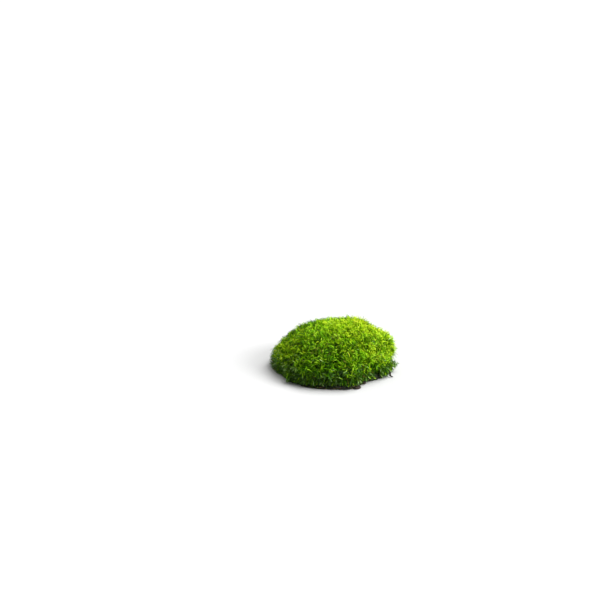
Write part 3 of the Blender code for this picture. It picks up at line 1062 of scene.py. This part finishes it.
def make_mat(wall):
    """The humus mat: the CAD mat's side with lumps on it, closed above and below.

    The lumps move the side in and out, and the rise moves all of it but the lowest ring up and
    down.
    """
    azimuth = np.arange(0, TURN, TURN / MAT_AROUND)
    height = np.concatenate(MAT_HEIGHTS) * MM
    reach = wall.reach(azimuth[None, :], height[:, None])
    around = np.stack([np.cos(azimuth), np.sin(azimuth)], -1)
    level = np.broadcast_to(height[:, None, None], (*reach.shape, 1))
    places = np.concatenate([around * reach[..., None], level], -1)
    lumps = relief(places, MAT_LUMPS) * MM
    places[..., :2] = places[..., :2] + around * lumps[..., None]
    rise = relief(places, MAT_RISE) * MM * (height[:, None] > 0)
    places[..., 2] = np.maximum(places[..., 2] + rise, 0.0)
    below = places[:1] * [MAT_MIDDLE, MAT_MIDDLE, 0.0]
    above = places[-1:] * [MAT_MIDDLE, MAT_MIDDLE, 1.0]
    piece = ring_body("humus_mat", np.concatenate([below, places, above]))
    dress(piece, humus_and_shade_material())
    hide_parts("root_mat")


def make_fibres(wall, material):
    """Dead and dark living leaves and rootlets that stick out of the mat's side."""
    azimuth = rng.uniform(0, TURN, FIBRES)
    height = rng.uniform(*FIBRE_HEIGHTS, FIBRES) * MM
    out = direction(azimuth, 0.0 * azimuth)
    aside = np.cross(UP, out)
    root = out * (wall.reach(azimuth, height) - FIBRE_ROOT)[:, None] + UP * height[:, None]
    amounts = rng.normal(0, 1, (6, FIBRES, 1))
    way = out * (0.7 + 0.3 * amounts[0]) + aside * 0.8 * amounts[1] + UP * 0.35 * amounts[2]
    way = unit(way)
    bend = aside * 0.7 * amounts[3] + out * 0.3 * amounts[4] + UP * (0.4 * amounts[5] - 0.2)
    living = rng.random(FIBRES) < FIBRE_LIVING_SHARE
    leaves = {
        "crest": root,
        "axis": out,
        "root": root,
        "way": way,
        "bend": bend,
        "side": np.cross(way, unit(rng.normal(size=(FIBRES, 3)))),
        "twist": rng.normal(0, 1.0, FIBRES),
        "length": rng.uniform(*FIBRE_LENGTHS, FIBRES) * MM,
        "width": rng.uniform(*FIBRE_WIDTHS, FIBRES) * MM,
        "kind": np.full(FIBRES, SUNNY),
    }
    green = rng.uniform(*FIBRE_LIVING_TINTS, FIBRES)
    leaves["tint"] = np.where(living, green, rng.uniform(*FIBRE_DEAD_TINTS, FIBRES))
    piece = ribbons("mat_fibres", shortened(leaves))
    dress(piece, material)


def make_crumb(node_name, piece_name, material):
    """A flake of bark in its CAD crumb's form, with its edges worn and its faces layered.

    For a way from its middle the CAD crumb's surface is at 1 / max(normal . way / distance) over
    its faces. A sum of high powers in place of the greatest wears the edges. The layers are a
    triangle wave of the height, and a wavering makes them uneven.
    """
    places = node_places(node_name)
    middle = (places.min(0) + places.max(0)) / 2
    normals, centres = node_planes(node_name)
    normals, kept = np.unique(np.round(normals, 3), axis=0, return_index=True)
    distance = ((centres[kept] - middle) * normals).sum(1)
    azimuth = np.arange(0, TURN, TURN / CRUMB_AROUND)
    angles = np.radians(CRUMB_ANGLES)
    ways = direction(azimuth[None, :], angles[:, None])
    share = np.maximum(ways @ (normals / distance[:, None]).T, 0)
    reach = (share**EDGE_POWER).sum(-1) ** (-1 / EDGE_POWER)
    places = middle + ways * reach[..., None]
    waver = LAYER_WAVES[1] * waves(places, LAYER_WAVES[0])
    layers = np.abs((places[..., 2] / LAYER_THICKNESS + waver) % 1 - 0.5)
    grain = GRAIN_DEPTH * waves(places, GRAIN_SIZE, GRAIN_WAVES)
    depth = LAYER_DEPTH * (layers - 0.3) + grain
    places = middle + ways * (reach + depth)[..., None]
    places[..., 2] = np.maximum(places[..., 2], 0)
    piece = ring_body(piece_name, places)
    dress(piece, material)
    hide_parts(node_name)


def make_twig(material):
    """The hooked twig: a round profile along its path, with ridges that wind along it and knots.

    With theta round it and s from 0 to 1 along it, its radius is the path's times
    core + sum(depth cos(number theta + winding s)) + sum(height exp(-((s - place) / width)^2)).
    """
    points, heading, radius = upright_path(TWIG_AZIMUTH, TWIG_PATH, TWIG_RINGS)
    side = unit(np.cross(heading, UP)[:1])
    across = np.cross(side, heading)
    theta = np.arange(0, TURN, TURN / TWIG_POINTS)[None, :]
    s = np.linspace(0, 1, TWIG_RINGS)[:, None]
    spoke = across[:, None] * np.cos(theta)[..., None] + side[:, None] * np.sin(theta)[..., None]
    ridges = sum(depth * np.cos(number * theta + wind * s) for depth, number, wind in TWIG_RIDGES)
    knots = sum(
        height * np.exp(-(((s - place) / width) ** 2)) for height, place, width in TWIG_KNOTS
    )
    reach = radius[:, None] * (TWIG_CORE + ridges + knots)
    places = points[:, None] + spoke * reach[..., None]
    places[..., 2] = np.maximum(places[..., 2], 0.0)
    piece = ring_body("twig", places)
    dress(piece, material)
    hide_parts("hooked_twig")


def make_floor():
    """A wide floor, light grey, which looks white under the lamps."""
    bpy.ops.mesh.primitive_plane_add(size=FLOOR_SIZE)
    floor = bpy.context.object
    floor.name = "floor"
    shade = (FLOOR_SHADE, FLOOR_SHADE, FLOOR_SHADE, 1.0)
    floor.data.materials.append(Paint("white floor").finish(Base_Color=shade, Roughness=0.8))


def make_lamp(name, place, width, strength):
    """A far, wide lamp that shines from a place towards the clump."""
    lamp = bpy.data.lights.new(name, "SUN")
    lamp.angle = math.radians(width)
    lamp.energy = strength
    holder = bpy.data.objects.new(name, lamp)
    bpy.context.scene.collection.objects.link(holder)
    holder.location = place
    holder.rotation_euler = (LAMP_TARGET - Vector(place)).to_track_quat("-Z", "Y").to_euler()


def make_camera():
    """A camera that shows the clump's base at its own pixel, at the photograph's angle."""
    camera = bpy.data.cameras.new("camera")
    camera.lens = LENS
    camera.sensor_width = SENSOR
    camera.clip_end = 100.0
    holder = bpy.data.objects.new("camera", camera)
    holder.rotation_euler = (math.pi / 2 - CAMERA_DROP, 0, 0)
    focal = PHOTO_SIZE * LENS / SENSOR
    across = (BASE_PIXEL[0] - PHOTO_SIZE / 2) / focal
    down = (BASE_PIXEL[1] - PHOTO_SIZE / 2) / focal
    ray = holder.rotation_euler.to_matrix() @ Vector((across, -down, -1)).normalized()
    holder.location = BASE_MIDDLE - ray * CAMERA_DISTANCE
    bpy.context.scene.collection.objects.link(holder)
    bpy.context.scene.camera = holder


def make_studio():
    """A white room with far, wide lamps: high and low at the right, and weak behind at the left."""
    scene = bpy.context.scene
    scene.world = bpy.data.worlds.new("studio")
    scene.world.use_nodes = True
    background = scene.world.node_tree.nodes["Background"]
    background.inputs["Color"].default_value = (1.0, 1.0, 1.0, 1.0)
    background.inputs["Strength"].default_value = WORLD_LIGHT
    scene.view_settings.view_transform = "Standard"
    for lamp in LAMPS:
        make_lamp(*lamp)
    make_floor()
    make_camera()


cushion = Skin("moss_cushion")
mat_wall = Wall("root_mat")
leaf = leaf_material()
make_moss(cushion, leaf)
make_stems(cushion)
make_mat(mat_wall)
make_fibres(mat_wall, leaf)
bark = bark_material("bark", (20, 14, 10), (48, 36, 28), (92, 76, 62), (1.0, 1.0, 4.0))
wood = bark_material("dead wood", (14, 10, 8), (34, 26, 21), (72, 60, 50), (3.0, 3.0, 1.0))
make_crumb("bark_chip", "chip", bark)
make_crumb("bark_crumb", "crumb", bark)
make_twig(wood)
make_studio()
